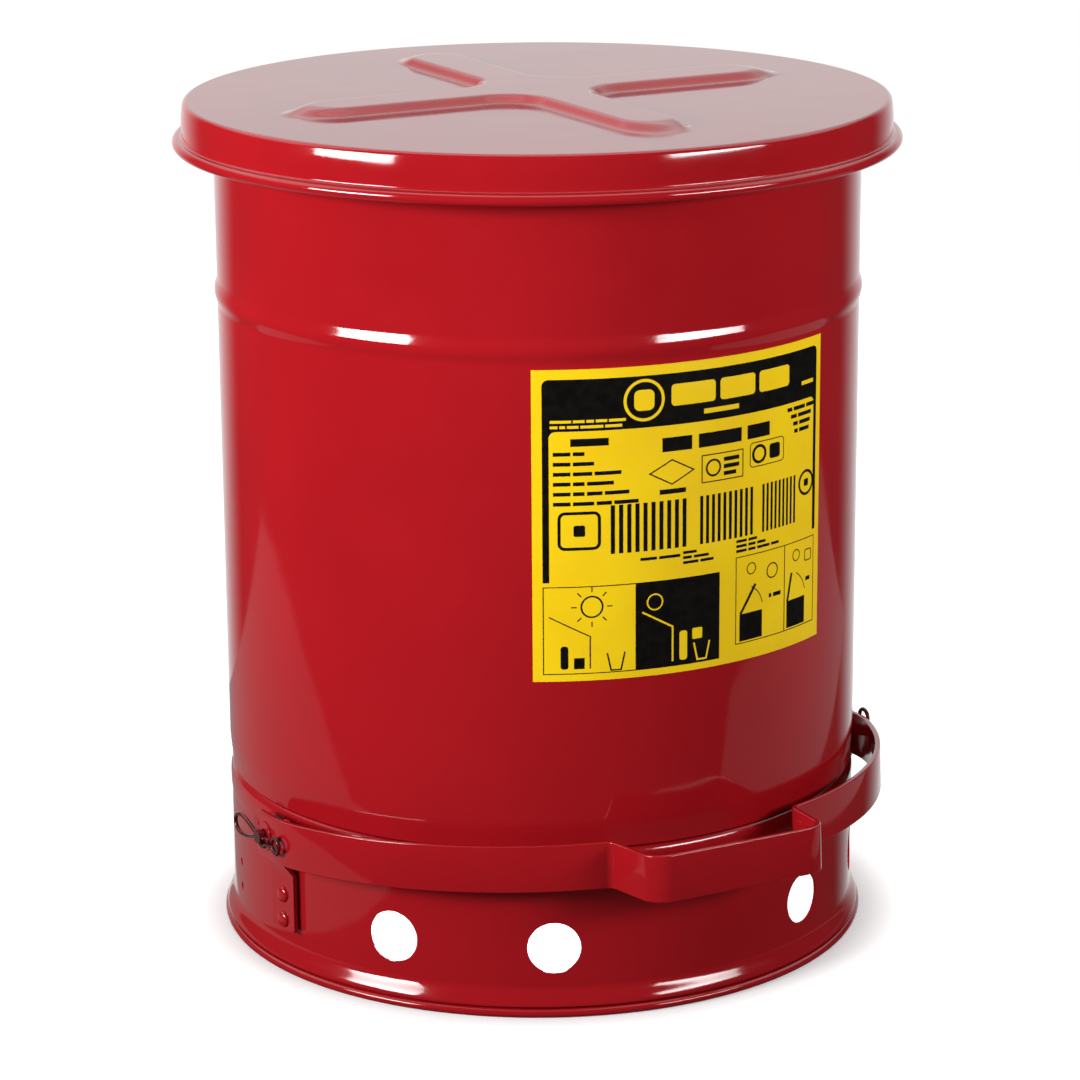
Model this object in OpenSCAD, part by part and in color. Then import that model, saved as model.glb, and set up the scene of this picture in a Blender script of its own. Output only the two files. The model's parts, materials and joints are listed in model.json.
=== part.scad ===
// Foot-operated oily waste can: a vented steel drum with a self-closing lid.
// Millimetres, +Z up. The origin is on the floor at the drum's axis.
// The pedal is at -Y, the lid's hinge is at +Y, and left is -X.

/* [Drum] */
// Outside diameter of the drum
drum_d = 354; // [350:1:358]
// Height of the closed lid's flat top
top_z = 467; // [457:1:483]
// Thickness of the drum, skirt, pan and lid sheet
sheet = 1.2; // [0.9:0.1:1.2]
// Height of the skirt's top shelf, which carries the raised bottom
shelf_z = 92.2; // [91.6:0.2:94]
// Height of the stiffening bead's middle
bead_z = 363; // [340:1:370]
// How far the stiffening bead stands out
bead_h = 1.5; // [0.8:0.1:1.8]

/* [Skirt and foot] */
// Outside diameter of the foot ring
foot_d = 364.6; // [360:0.2:368]
// Height of the foot ring
foot_h = 4.8; // [4:0.1:6]
// Diameter of the vent holes
vent_d = 28.5; // [20:0.5:32]
// Height of the vent holes' middle
vent_z = 38; // [34:1:44]
// Angles of the vent holes either side of the front and of the rear
vent_angles = [26, 55];

/* [Lid] */
// Outside radius of the lid's upright skirt
lid_r = 194; // [193:0.5:195]
// Depth of the lid from its flat top to the underside of its bead
lid_depth = 25.5; // [24:0.5:26]
// Height of the raised cross on the lid
rib_h = 4.3; // [2:0.1:5]
// Length of each arm of the cross from the middle
rib_reach = 137; // [110:1:150]
// Width of each arm of the cross
rib_w = 34; // [24:1:44]

/* [Pedal] */
// Outside radius of the pedal strap
strap_r = 193.5; // [193:0.5:196]
// Height of the pedal strap
strap_h = 25.4; // [20:0.2:28]
// Thickness of the pedal strap
strap_t = 3; // [2.5:0.1:3.2]
// Width of the step across its front
step_w = 106; // [90:1:120]
// Distance from the drum's axis to the front of the step
step_reach = 223.6; // [215:0.2:230]
// How far the step is tipped up when the lid is closed
pedal_tilt = 3.5; // [2:0.1:5]

/* [Linkage] */
// Distance from the pedal's pivot forward of the drum's axis
pivot_ahead = 32; // [30:1:34]
// Height of the pedal's pivot
pivot_z = 80.5; // [79:0.5:81]
// Diameter of the pivot shaft
shaft_d = 8; // [7:0.5:9]
// Diameter of the lift rod
rod_d = 6; // [5:0.5:6]
// Distance from the lid's hinge forward to the lift rod
rod_gap = 26; // [26:0.5:27]
// How far the lid opens, in degrees
lid_opening = 60; // [50:1:60]
// How far the lever's rear end hangs below the pivot when the lid is closed
lever_drop = 32.5; // [31:0.5:34]

/* [Label] */
// Width of the label around the drum, in degrees
label_angle = 58.7; // [30:0.1:80]
// Height of the label's lower edge
label_z = 187; // [150:1:200]
// Height of the label
label_h = 166.5; // [80:0.5:170]

/* [Hidden] */

// Faces of a circle; anything over 12 is a true round in the finished solids
round_faces = 96;
$fn = round_faces;

enamel = [0.70, 0.08, 0.10];
zinc = [0.72, 0.73, 0.74];
dark_steel = [0.25, 0.12, 0.12];
label_yellow = [0.95, 0.80, 0.10];

// Directions around the drum, from +X
front_dir = -90;
rear_dir = 90;

// Clearances: between moving pieces, in a running fit, and between touching sheets
air = 0.3;
running = 0.05;
touch = 0.05;

// Drum, pan and rim
drum_r = drum_d / 2;
bead_w = 16;
tuck_h = 17;
tuck_depth = 1.0;
drum_bottom = shelf_z + sheet;
pan_flange_r = drum_r - tuck_depth - sheet - touch;
pan_flange_h = 13;
rim_wire_r = 1.6;
curl_r = rim_wire_r + sheet;
curl_z = top_z - sheet - air - curl_r;
curl_centre_r = drum_r + rim_wire_r;
curl_mouth = 60;

// Skirt
skirt_r = drum_r - 0.3;
hem_swell = 0.4;
hem_z = [77, 89.5];
shelf_w = 12;
flare_h = 12.2;
foot_w = 4.8;
foot_round = 1.5;
slot_w = 14;
slot_z = [41, 87];
pivot_hole_d = 14;
spare_hole_d = 4.5;
spare_hole_y = 33;

// Pivot brackets and their rivets
rivet_d = 4.8;
rivet_head_d = 9;
rivet_head_h = 2.2;
bracket_w = 20;
bracket_t = 2.5;
bracket_gap = 1.2;
bracket_z = [25, 58, 68];
bracket_rivet_z = [30.5, 45];
bracket_r = drum_r + bracket_gap;
bracket_dir = -asin(pivot_ahead / (bracket_r + bracket_t / 2));

// Pedal
pivot_y = -pivot_ahead;
strap_side_x = 187;
strap_end_y = -20;
step_splay = 4;
step_corner_r = 9;
step_root_y = -183;
bracket_face_x = strap_side_x - strap_t - air;
washer_t = 1;
washer_d = 16;
washer_x = strap_side_x + touch;
flat_w = 6.4;
wire_d = 2.3;
clip_x = washer_x + washer_t + 0.1 + wire_d / 2;
shaft_tip_x = clip_x + 3.2;
hairpin_tilt_left = 0;
hairpin_tilt_right = 40;

// Hairpin clip, in its own plane: its round eye is at +u and its long loop at -u
eye_at = 17.4;
eye_r = 4.4;
loop_start = -9.5;
loop_length = 26;
loop_half_w = 4.4;
leg_gap = wire_d + 0.4;
bump_r = shaft_d / 2 + wire_d / 2 + 0.3;
straight_leg_end = 9.5;

// Lid
lid_corner_r = 3;
lid_bead_tube_r = 3.1;
lid_bead_r = lid_r + 2;
lid_bead_z = top_z - lid_depth + lid_bead_tube_r;
rib_fillet_r = 24;

// Hinge
hinge_y = 216;
hinge_z = top_z - 27;
hinge_pin_d = 6;
ear_r = 8;
ear_x = 26;
ear_t = 3;
arm_x = 20;
arm_t = 3;
arm_r = 7;
lug_t = 4;
lug_w = 14.4;
hinge_half_angle = 10.3;
hinge_flange_t = 2;
hinge_flange_z = [hinge_z - 42, hinge_z - 6];
leaf_z = [hinge_z + 9.2, hinge_z + 18.4];
leaf_t = 2;
leaf_half_angle = 9;

// The lug swings equally below and above level as the lid opens, and lifts the rod
rod_x = 10;
rod_y = hinge_y - rod_gap;
lug_dip = lid_opening / 2;
rod_top_z = hinge_z - rod_gap * tan(lug_dip);
lug_far = rod_gap / cos(lug_dip);
lug_slot_r = rod_d / 2 + 1.0;
rod_bottom_z = pivot_z - lever_drop;
rod_bend_r = 6;
rod_leg_end = -8;
rod_clip_x = -5.2;
rod_clip_t = 1.4;

// Lever inside the skirt
lever_t = 5;
lever_run = rod_y - pivot_y;
lever_dip = atan(lever_drop / lever_run);
lever_far = lever_run / cos(lever_dip);
lever_slot_r = rod_d / 2 + 0.5;
lever_slot_travel = lever_far - lever_run;
lever_end_r = 7.2;
hub_d = 18;
hub_l = 20;
roll_pin_d = 3.5;
roll_pin_x = 7;

// Guides for the lift rod
guide_z = [140, 300];
guide_h = 14;
guide_dir = atan2(rod_y, rod_x);
guide_r = norm([rod_x, rod_y]);
guide_wall = 2.4;
guide_flange_t = 1.5;
guide_half_angle = 7;
guide_rivet_angle = 4.6;
small_rivet_d = 3.2;
small_head_d = 6.5;
small_head_h = 1.6;

// ---- Outlines shared by several pieces ----

// A soft step from 0 to 1 as t runs from 0 to 1
function soft_step(t) = (1 - cos(180 * max(0, min(1, t)))) / 2;

// A soft hump of height 1 around middle, width across
function hump(z, middle, width) = soft_step(1 - abs(z - middle) / (width / 2));

function arc(centre, r, from, to, steps = 10) =
    [for (i = [0:steps]) centre + r * [cos(from + (to - from) * i / steps), sin(from + (to - from) * i / steps)]];

function reversed(points) = [for (i = [len(points) - 1:-1:0]) points[i]];

// A sheet turned about the drum's axis, from the outer surface's [radius, height] points
module turned_sheet(outer) {
    inner = [for (p = reversed(outer)) [p[0] - sheet, p[1]]];
    rotate_extrude() polygon(concat(outer, inner));
}

// A band of the given radii and heights around part of the drum, centred on a direction
module wall_patch(inner_r, t, z_range, dir, half_angle) {
    rotate([0, 0, dir - half_angle])
        rotate_extrude(angle = 2 * half_angle)
            translate([inner_r, z_range[0]]) square([t, z_range[1] - z_range[0]]);
}

// Puts a piece that stands along +Z on the drum's side, pointing outwards
module on_wall(dir, r, z) {
    rotate([0, 0, dir]) translate([r, 0, z]) rotate([0, 90, 0]) children();
}

// A plate of thickness t across X, from an outline drawn in the Y-Z plane
module side_plate(x, t) {
    translate([x, 0, 0]) rotate([90, 0, 90]) linear_extrude(t) children();
}

// A rod along X
module cross_rod(d, x_from, x_to, y, z) {
    translate([x_from, y, z]) rotate([0, 90, 0]) cylinder(d = d, h = x_to - x_from);
}

// A domed rivet head standing on z = 0
module dome(d, h) {
    ball_r = (d * d / 4 + h * h) / (2 * h);
    intersection() {
        translate([0, 0, h - ball_r]) sphere(ball_r);
        cylinder(d = d, h = h);
    }
}

// A set rivet: domed head at z = 0, shank down through the grip, and a flat tail
module rivet(d, head_d, head_h, grip) {
    dome(head_d, head_h);
    translate([0, 0, -grip]) cylinder(d = d, h = grip + touch);
    translate([0, 0, -grip - 1]) cylinder(d = d * 1.5, h = 1);
}

// ---- Drum ----

function drum_outer_r(z) = drum_r + bead_h * hump(z, bead_z, bead_w)
    - tuck_depth * (1 - soft_step((z - drum_bottom) / tuck_h));

module drum_shell() {
    tuck = [for (i = [0:6]) drum_bottom + tuck_h * i / 6];
    bead = [for (i = [0:10]) bead_z - bead_w / 2 + bead_w * i / 10];
    outer = [for (z = concat(tuck, bead, [curl_z])) [drum_outer_r(z), z]];
    color(enamel) difference() {
        union() {
            turned_sheet(outer);
            rotate_extrude() translate([curl_centre_r, curl_z]) difference() {
                circle(curl_r);
                circle(rim_wire_r + touch);
                // The curl stays open underneath, where the sheet's edge ends
                rotate(-90 - curl_mouth / 2) polygon([[0, 0], 2 * curl_r * [1, 0],
                    2 * curl_r * [cos(curl_mouth), sin(curl_mouth)]]);
            }
        }
        wall_rivet_holes();
    }
}

// The rivet holes of the hinge bracket and of the rod guides
module wall_rivet_holes() {
    at_hinge_bracket_rivets() translate([0, 0, -10]) cylinder(d = rivet_d + 2 * touch, h = 20);
    at_guide_rivets() translate([0, 0, -10]) cylinder(d = small_rivet_d + 2 * touch, h = 20);
}

module rim_wire() {
    color(zinc) rotate_extrude() translate([curl_centre_r, curl_z]) circle(rim_wire_r);
}

module bottom_pan() {
    color(enamel) rotate_extrude() {
        translate([0, shelf_z]) square([pan_flange_r, sheet]);
        translate([pan_flange_r - sheet, shelf_z]) square([sheet, pan_flange_h]);
    }
}

function skirt_outer_r(z) = skirt_r + hem_swell * hump(z, (hem_z[0] + hem_z[1]) / 2, hem_z[1] - hem_z[0] + 6)
    + (foot_d / 2 - 0.5 - skirt_r) * soft_step(1 - (z - foot_h) / flare_h);

module base_skirt() {
    flare = [for (i = [0:8]) foot_h + flare_h * i / 8];
    hem = [for (i = [0:6]) hem_z[0] - 3 + (hem_z[1] - hem_z[0] + 3) * i / 6];
    wall = [for (z = concat(flare, hem)) [skirt_outer_r(z), z]];
    shoulder_r = shelf_z - hem_z[1];
    shoulder = arc([skirt_outer_r(hem_z[1]) - shoulder_r, hem_z[1]], shoulder_r, 15, 90, 5);
    color(enamel) difference() {
        union() {
            turned_sheet(concat(wall, [for (p = shoulder) [p[0], min(p[1], shelf_z - touch)]]));
            rotate_extrude() translate([skirt_r - shelf_w, shelf_z - sheet - touch]) square([shelf_w - 2, sheet]);
        }
        for (middle = [front_dir, rear_dir], side = [-1, 1], angle = vent_angles)
            on_wall(middle + side * angle, skirt_r - 10, vent_z) cylinder(d = vent_d, h = 20);
        for (side = [-1, 1]) {
            cross_rod(pivot_hole_d, side * skirt_r - 12, side * skirt_r + 12, pivot_y, pivot_z);
            for (z = bracket_rivet_z) {
                at_bracket_rivet(side, z) translate([0, 0, -15]) cylinder(d = rivet_d + 2 * touch, h = 30);
                on_wall(90 - side * (90 - asin(spare_hole_y / skirt_r)), skirt_r - 10, z - 3)
                    cylinder(d = spare_hole_d, h = 20);
            }
        }
        translate([-slot_w / 2, skirt_r - 10, slot_z[0]]) cube([slot_w, 20, slot_z[1] - slot_z[0]]);
    }
}

module foot_ring() {
    color(enamel) rotate_extrude() translate([foot_d / 2 - foot_w, 0]) {
        translate([0, foot_round]) square([foot_w, foot_h - 2 * foot_round]);
        translate([foot_round, 0]) square([foot_w - 2 * foot_round, foot_h]);
        for (x = [foot_round, foot_w - foot_round], z = [foot_round, foot_h - foot_round])
            translate([x, z]) circle(foot_round);
    }
}

module label() {
    color(label_yellow)
        wall_patch(drum_r + touch, 0.3, [label_z, label_z + label_h], front_dir, label_angle / 2);
}

// ---- Pedal brackets ----

module at_bracket_rivet(side, z) {
    on_wall(side > 0 ? bracket_dir : 180 - bracket_dir, bracket_r + bracket_t, z) children();
}

module bracket_strip(z, h) {
    rotate([0, 0, bracket_dir]) translate([bracket_r, -bracket_w / 2, z]) cube([bracket_t, bracket_w, h]);
}

module bracket_plate(z, h) {
    translate([bracket_face_x - bracket_t, pivot_y - bracket_w / 2, z]) cube([bracket_t, bracket_w, h]);
}

module pivot_bracket(side) {
    slice = 0.02;
    color(enamel) difference() {
        mirror([side < 0 ? 1 : 0, 0, 0]) {
            bracket_strip(bracket_z[0], bracket_z[1] - bracket_z[0]);
            hull() {
                bracket_strip(bracket_z[1] - slice, slice);
                bracket_plate(bracket_z[2], slice);
            }
            bracket_plate(bracket_z[2], pivot_z - bracket_z[2]);
            cross_rod(bracket_w, bracket_face_x - bracket_t, bracket_face_x, pivot_y, pivot_z);
        }
        cross_rod(shaft_d + 2 * running, -strap_r, strap_r, pivot_y, pivot_z);
        for (z = bracket_rivet_z)
            at_bracket_rivet(side, z) translate([0, 0, -10]) cylinder(d = rivet_d + 2 * touch, h = 20);
    }
}

module pivot_bracket_left() pivot_bracket(-1);

module pivot_bracket_right() pivot_bracket(1);

module bracket_rivets() {
    grip = bracket_t + bracket_gap + drum_r - skirt_r + sheet + 2 * touch;
    color(enamel) for (side = [-1, 1], z = bracket_rivet_z)
        at_bracket_rivet(side, z) translate([0, 0, touch]) rivet(rivet_d, rivet_head_d, rivet_head_h, grip);
}

// ---- Lid hinge ----

module at_hinge_bracket_rivets() {
    for (side = [-1, 1], z = [hinge_flange_z[0] + 8, hinge_flange_z[1] - 8])
        on_wall(rear_dir + side * 4, drum_r + touch + hinge_flange_t, z) children();
}

module hinge_bracket() {
    ear = [[drum_r - 0.8, hinge_z - 38], [drum_r - 0.8, hinge_z - 8],
        [hinge_y - 10, hinge_z - 2], [hinge_y, hinge_z], [hinge_y + 2, hinge_z - 7.7]];
    color(enamel) difference() {
        union() {
            wall_patch(drum_r + touch, hinge_flange_t, hinge_flange_z, rear_dir, hinge_half_angle);
            for (x = [-ear_x - ear_t, ear_x]) side_plate(x, ear_t) {
                polygon(ear);
                translate([hinge_y, hinge_z]) circle(ear_r);
            }
        }
        cross_rod(hinge_pin_d + 2 * touch, -50, 50, hinge_y, hinge_z);
        at_hinge_bracket_rivets() translate([0, 0, -10]) cylinder(d = rivet_d + 2 * touch, h = 20);
    }
}

module hinge_bracket_rivets() {
    color(enamel) at_hinge_bracket_rivets()
        translate([0, 0, touch]) rivet(rivet_d, rivet_head_d, rivet_head_h, hinge_flange_t + sheet + 3 * touch);
}

module hinge_pin() {
    head_t = 2;
    outside_x = ear_x + ear_t;
    color(zinc) {
        cross_rod(hinge_pin_d, -outside_x - head_t, outside_x + 4, hinge_y, hinge_z);
        cross_rod(hinge_pin_d + 4, -outside_x - head_t - touch, -outside_x - touch, hinge_y, hinge_z);
    }
}

module hinge_pin_clip() {
    clip_t = 1.2;
    outside_x = ear_x + ear_t + touch;
    color(zinc) difference() {
        cross_rod(hinge_pin_d + 5, outside_x, outside_x + clip_t, hinge_y, hinge_z);
        cross_rod(hinge_pin_d + 2 * touch, outside_x - 1, outside_x + clip_t + 1, hinge_y, hinge_z);
    }
}

module hinge_washers() {
    gap = ear_x - arm_x - arm_t;
    color(zinc) for (side = [-1, 1]) difference() {
        cross_rod(2 * hinge_pin_d, side * (ear_x - gap / 2) - gap / 2 + air,
            side * (ear_x - gap / 2) + gap / 2 - air, hinge_y, hinge_z);
        cross_rod(hinge_pin_d + 2 * touch, -50, 50, hinge_y, hinge_z);
    }
}

// ---- Guides of the lift rod ----

module at_guide_rivets() {
    for (z = guide_z, side = [-1, 1])
        on_wall(guide_dir + side * guide_rivet_angle, drum_r + touch + guide_flange_t, z) children();
}

module rod_guide(z) {
    eye_wall_r = rod_d / 2 + guide_wall;
    z_range = [z - guide_h / 2, z + guide_h / 2];
    color(enamel) difference() {
        union() {
            wall_patch(drum_r + touch, guide_flange_t, z_range, guide_dir, guide_half_angle);
            rotate([0, 0, guide_dir]) {
                translate([drum_r + 1, -2, z_range[0]]) cube([guide_r - drum_r - 4, 4, guide_h]);
                translate([guide_r, 0, z_range[0]]) cylinder(r = eye_wall_r, h = guide_h);
            }
        }
        translate([rod_x, rod_y, z - guide_h]) cylinder(d = rod_d + 2 * running, h = 2 * guide_h);
        at_guide_rivets() translate([0, 0, -10]) cylinder(d = small_rivet_d + 2 * touch, h = 20);
    }
}

module rod_guide_lower() rod_guide(guide_z[0]);

module rod_guide_upper() rod_guide(guide_z[1]);

module guide_rivets() {
    color(enamel) at_guide_rivets() translate([0, 0, touch])
        rivet(small_rivet_d, small_head_d, small_head_h, guide_flange_t + sheet + 3 * touch);
}

// ---- Lid ----

// The raised cross seen from above, drawn in from its edge by inset
module cross_outline(inset) {
    half_w = rib_w / 2 - inset;
    for (turn = [0, 90]) rotate(turn) {
        square([2 * (rib_reach - rib_w / 2), 2 * half_w], center = true);
        for (side = [-1, 1]) translate([side * (rib_reach - rib_w / 2), 0]) circle(half_w);
    }
    fillet = rib_fillet_r + inset;
    for (turn = [0:90:270]) rotate(turn) difference() {
        square(half_w + fillet);
        translate([half_w + fillet, half_w + fillet]) circle(fillet);
    }
}

module lid_shell() {
    outer = concat([[0, top_z]], reversed(arc([lid_r - lid_corner_r, top_z - lid_corner_r], lid_corner_r, 0, 90)),
        [[lid_r, lid_bead_z]]);
    inner = concat([[lid_r - sheet, lid_bead_z]],
        arc([lid_r - lid_corner_r, top_z - lid_corner_r], lid_corner_r - sheet, 0, 90), [[0, top_z - sheet]]);
    color(enamel) difference() {
        union() {
            rotate_extrude() polygon(concat(outer, inner));
            rotate_extrude() translate([lid_bead_r, lid_bead_z]) circle(lid_bead_tube_r);
            translate([0, 0, top_z - sheet]) linear_extrude(rib_h + sheet) cross_outline(0);
        }
        translate([0, 0, top_z - 2 * sheet]) linear_extrude(rib_h + sheet) cross_outline(sheet);
        at_lid_rivets() translate([0, 0, -10]) cylinder(d = small_rivet_d + 2 * touch, h = 20);
    }
}

module at_lid_rivets() {
    for (side = [-1, 1])
        on_wall(rear_dir + side * 3.4, lid_r + touch + leaf_t, (leaf_z[0] + leaf_z[1]) / 2) children();
}

module lid_hinge_leaf() {
    arm_front = lid_r + 0.3;
    arm = [[arm_front, leaf_z[0]], [arm_front, leaf_z[1]], [arm_front + 8, leaf_z[1]],
        [hinge_y + 6.2, hinge_z + 3.2], [hinge_y, hinge_z], [hinge_y - 5.5, hinge_z - 4.3],
        [arm_front + 7, leaf_z[0]]];
    color(enamel) difference() {
        union() {
            wall_patch(lid_r + touch, leaf_t, leaf_z, rear_dir, leaf_half_angle);
            for (x = [-arm_x - arm_t, arm_x]) side_plate(x, arm_t) {
                polygon(arm);
                translate([hinge_y, hinge_z]) circle(arm_r);
            }
        }
        cross_rod(hinge_pin_d + 2 * running, -50, 50, hinge_y, hinge_z);
        at_lid_rivets() translate([0, 0, -10]) cylinder(d = small_rivet_d + 2 * touch, h = 20);
    }
}

module lid_hinge_rivets() {
    color(enamel) at_lid_rivets() translate([0, 0, touch])
        rivet(small_rivet_d, small_head_d, small_head_h, leaf_t + sheet + 3 * touch);
}

// The plate that the lift rod pushes up: welded to the leaf, and slotted for the rod's leg
module lift_lug() {
    root_y = lid_r + touch + leaf_t;
    root = [[root_y - 1, leaf_z[0]], [root_y - 1, leaf_z[1]], [root_y + 6, leaf_z[1]],
        [hinge_y + 6, hinge_z + 5.3], [hinge_y, hinge_z], [hinge_y - 7, hinge_z - 4], [root_y + 5, leaf_z[0]]];
    slot_from = rod_gap - 0.2;
    slot_to = lug_far + 0.2;
    end_r = lug_w / 2;
    end_at = slot_to + lug_slot_r + 1.8 - end_r;
    color(enamel) difference() {
        union() {
            side_plate(-lug_t / 2, lug_t) polygon(root);
            cross_rod(2 * ear_r, -lug_t / 2, lug_t / 2, hinge_y, hinge_z);
            side_plate(-lug_t / 2, lug_t) translate([hinge_y, hinge_z]) rotate(180 + lug_dip) {
                translate([0, -end_r]) square([end_at, lug_w]);
                translate([end_at, 0]) circle(end_r);
            }
        }
        side_plate(-lug_t, 2 * lug_t) translate([hinge_y, hinge_z]) rotate(180 + lug_dip) {
            translate([slot_from, -lug_slot_r]) square([slot_to - slot_from, 2 * lug_slot_r]);
            for (at = [slot_from, slot_to]) translate([at, 0]) circle(lug_slot_r);
        }
        cross_rod(hinge_pin_d + 2 * running, -50, 50, hinge_y, hinge_z);
        translate([0, 0, leaf_z[0] - 1]) cylinder(r = root_y + touch, h = leaf_z[1] - leaf_z[0] + 2);
    }
}

// ---- Pedal ----

// Everything inside the strap's outer face, or inside its inner face when inset is its thickness
module strap_solid(inset) {
    side_x = strap_side_x - inset;
    front_y = -step_reach + inset;
    corner = step_corner_r - inset;
    h = strap_h + 2 * inset;
    intersection() {
        cylinder(r = strap_r - inset, h = h, center = true);
        cube([2 * side_x, 2 * strap_r, h], center = true);
    }
    half = concat([[step_w / 2 + step_splay - inset, step_root_y + 3 * step_corner_r],
            [step_w / 2 + step_splay - inset, step_root_y]],
        reversed(arc([step_w / 2 - inset - corner, front_y + corner], corner, -90, 0, 6)));
    translate([0, 0, -h / 2]) linear_extrude(h)
        polygon(concat(half, [for (p = reversed(half)) [-p[0], p[1]]]));
}

module pedal_strap() {
    color(enamel) translate([0, pivot_y, pivot_z]) rotate([-pedal_tilt, 0, 0]) translate([0, -pivot_y, 0])
        difference() {
            strap_solid(0);
            strap_solid(strap_t);
            translate([-strap_r, strap_end_y, -strap_h]) cube(2 * [strap_r, strap_r, strap_h]);
            shaft_bar(running, 2 * strap_r);
        }
}

// The shaft's flatted section, larger all round by margin, on the pivot's axis at z = 0
module shaft_bar(margin, length) {
    translate([0, pivot_y, 0]) intersection() {
        rotate([0, 90, 0]) cylinder(d = shaft_d + 2 * margin, h = length, center = true);
        cube([length, shaft_d * 2, flat_w + 2 * margin], center = true);
    }
}

module pivot_shaft() {
    round_x = bracket_face_x + air / 2;
    color(zinc) difference() {
        union() {
            cross_rod(shaft_d, -round_x, round_x, pivot_y, pivot_z);
            translate([0, pivot_y, pivot_z]) rotate([-pedal_tilt, 0, 0]) translate([0, -pivot_y, 0])
                shaft_bar(0, 2 * shaft_tip_x);
        }
        hairpin_hole(-clip_x, hairpin_tilt_left);
        hairpin_hole(clip_x, hairpin_tilt_right);
        translate([roll_pin_x, pivot_y, pivot_z - hub_d]) cylinder(d = roll_pin_d + 2 * touch, h = 2 * hub_d);
    }
}

module hairpin_hole(x, tilt) {
    translate([x, pivot_y, pivot_z]) rotate([90 - tilt, 0, 0])
        cylinder(d = wire_d + 0.2, h = 3 * shaft_d, center = true);
}

module pivot_washers() {
    color(zinc) for (side = [-1, 1]) difference() {
        cross_rod(washer_d, side * (washer_x + washer_t / 2) - washer_t / 2,
            side * (washer_x + washer_t / 2) + washer_t / 2, pivot_y, pivot_z);
        cross_rod(shaft_d + 0.3, -strap_r, strap_r, pivot_y, pivot_z);
    }
}

// The clip's wire: straight leg, long loop, bump round the shaft, and the round eye
function hairpin_path() = concat(
    [[straight_leg_end, 0], [0, 0]],
    [for (i = [0:24]) let (t = i / 24)
        [loop_start - loop_length * sin(180 * t), -loop_half_w * sin(360 * t) + leg_gap * soft_step(t)]],
    arc([0, 0], bump_r, 148, 32, 10),
    arc([eye_at, 0], eye_r, 150, -170, 24)
);

// A round wire bent to a path of [u, v] points; the path's plane is z = 0
module bent_wire(path, d) {
    sides = 10;
    last = len(path) - 1;
    rings = [for (i = [0:last]) let (
            ahead = path[min(i + 1, last)] - path[max(i - 1, 0)],
            across = [-ahead[1], ahead[0]] / norm(ahead))
        for (k = [0:sides - 1]) let (a = 360 * k / sides)
            [path[i][0] + across[0] * d / 2 * cos(a), path[i][1] + across[1] * d / 2 * cos(a), d / 2 * sin(a)]];
    walls = [for (i = [0:last - 1], k = [0:sides - 1]) let (n = (k + 1) % sides)
        [i * sides + k, (i + 1) * sides + k, (i + 1) * sides + n, i * sides + n]];
    caps = [[for (k = [0:sides - 1]) k], [for (k = [sides - 1:-1:0]) last * sides + k]];
    polyhedron(rings, concat(walls, caps), convexity = 6);
}

// A clip in the plane of X = x, its eye pointing to -Y and up by tilt, its bump below or above
module hairpin(x, tilt, bump_side) {
    color(dark_steel) translate([x, pivot_y, pivot_z]) rotate([-tilt, 0, 0])
        rotate([0, 0, -90]) rotate([90, 0, 0]) mirror([0, bump_side < 0 ? 1 : 0, 0])
            bent_wire(hairpin_path(), wire_d);
}

module hairpin_left() hairpin(-clip_x, hairpin_tilt_left, -1);

module hairpin_right() hairpin(clip_x, hairpin_tilt_right, 1);

// ---- Lever and rod ----

module lift_lever() {
    color(zinc) difference() {
        translate([0, pivot_y, pivot_z]) rotate([-lever_dip, 0, 0]) {
            translate([-hub_l / 2, 0, 0]) rotate([0, 90, 0]) cylinder(d = hub_d, h = hub_l);
            side_plate(-lever_t / 2, lever_t) {
                polygon([[0, -hub_d / 2], [lever_far, -lever_end_r], [lever_far, lever_end_r], [0, hub_d / 2]]);
                translate([lever_far, 0]) circle(lever_end_r);
            }
        }
        translate([0, pivot_y, pivot_z]) rotate([-lever_dip, 0, 0]) side_plate(-lever_t, 2 * lever_t) {
            for (at = [lever_run - 0.3, lever_far + 0.3]) translate([at, 0]) circle(lever_slot_r);
            translate([lever_run - 0.3, -lever_slot_r]) square([lever_slot_travel + 0.6, 2 * lever_slot_r]);
        }
        cross_rod(shaft_d + 2 * touch, -hub_l, hub_l, pivot_y, pivot_z);
        translate([roll_pin_x, pivot_y, pivot_z - hub_d]) cylinder(d = roll_pin_d + 2 * touch, h = 2 * hub_d);
    }
}

module lever_roll_pin() {
    color(zinc) translate([roll_pin_x, pivot_y, pivot_z - hub_d / 2]) cylinder(d = roll_pin_d, h = hub_d);
}

// A quarter bend of the rod from vertical, at the origin, to a leg that runs towards -X
module rod_bend() {
    translate([-rod_bend_r, 0, 0]) rotate([90, 0, 0])
        rotate_extrude(angle = 90) translate([rod_bend_r, 0]) circle(d = rod_d);
}

module lift_rod() {
    straight_from = rod_bottom_z + rod_bend_r;
    straight_to = rod_top_z - rod_bend_r;
    leg_start = rod_x - rod_bend_r;
    color(zinc) {
        translate([rod_x, rod_y, straight_from]) cylinder(d = rod_d, h = straight_to - straight_from);
        translate([rod_x, rod_y, straight_to]) rod_bend();
        translate([rod_x, rod_y, straight_from]) mirror([0, 0, 1]) rod_bend();
        for (z = [rod_bottom_z, rod_top_z]) cross_rod(rod_d, rod_leg_end, leg_start, rod_y, z);
    }
}

module rod_clips() {
    color(zinc) for (z = [rod_bottom_z, rod_top_z]) difference() {
        cross_rod(2 * rod_d, rod_clip_x, rod_clip_x + rod_clip_t, rod_y, z);
        cross_rod(rod_d + 2 * touch, rod_leg_end - 1, rod_x, rod_y, z);
    }
}

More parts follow.
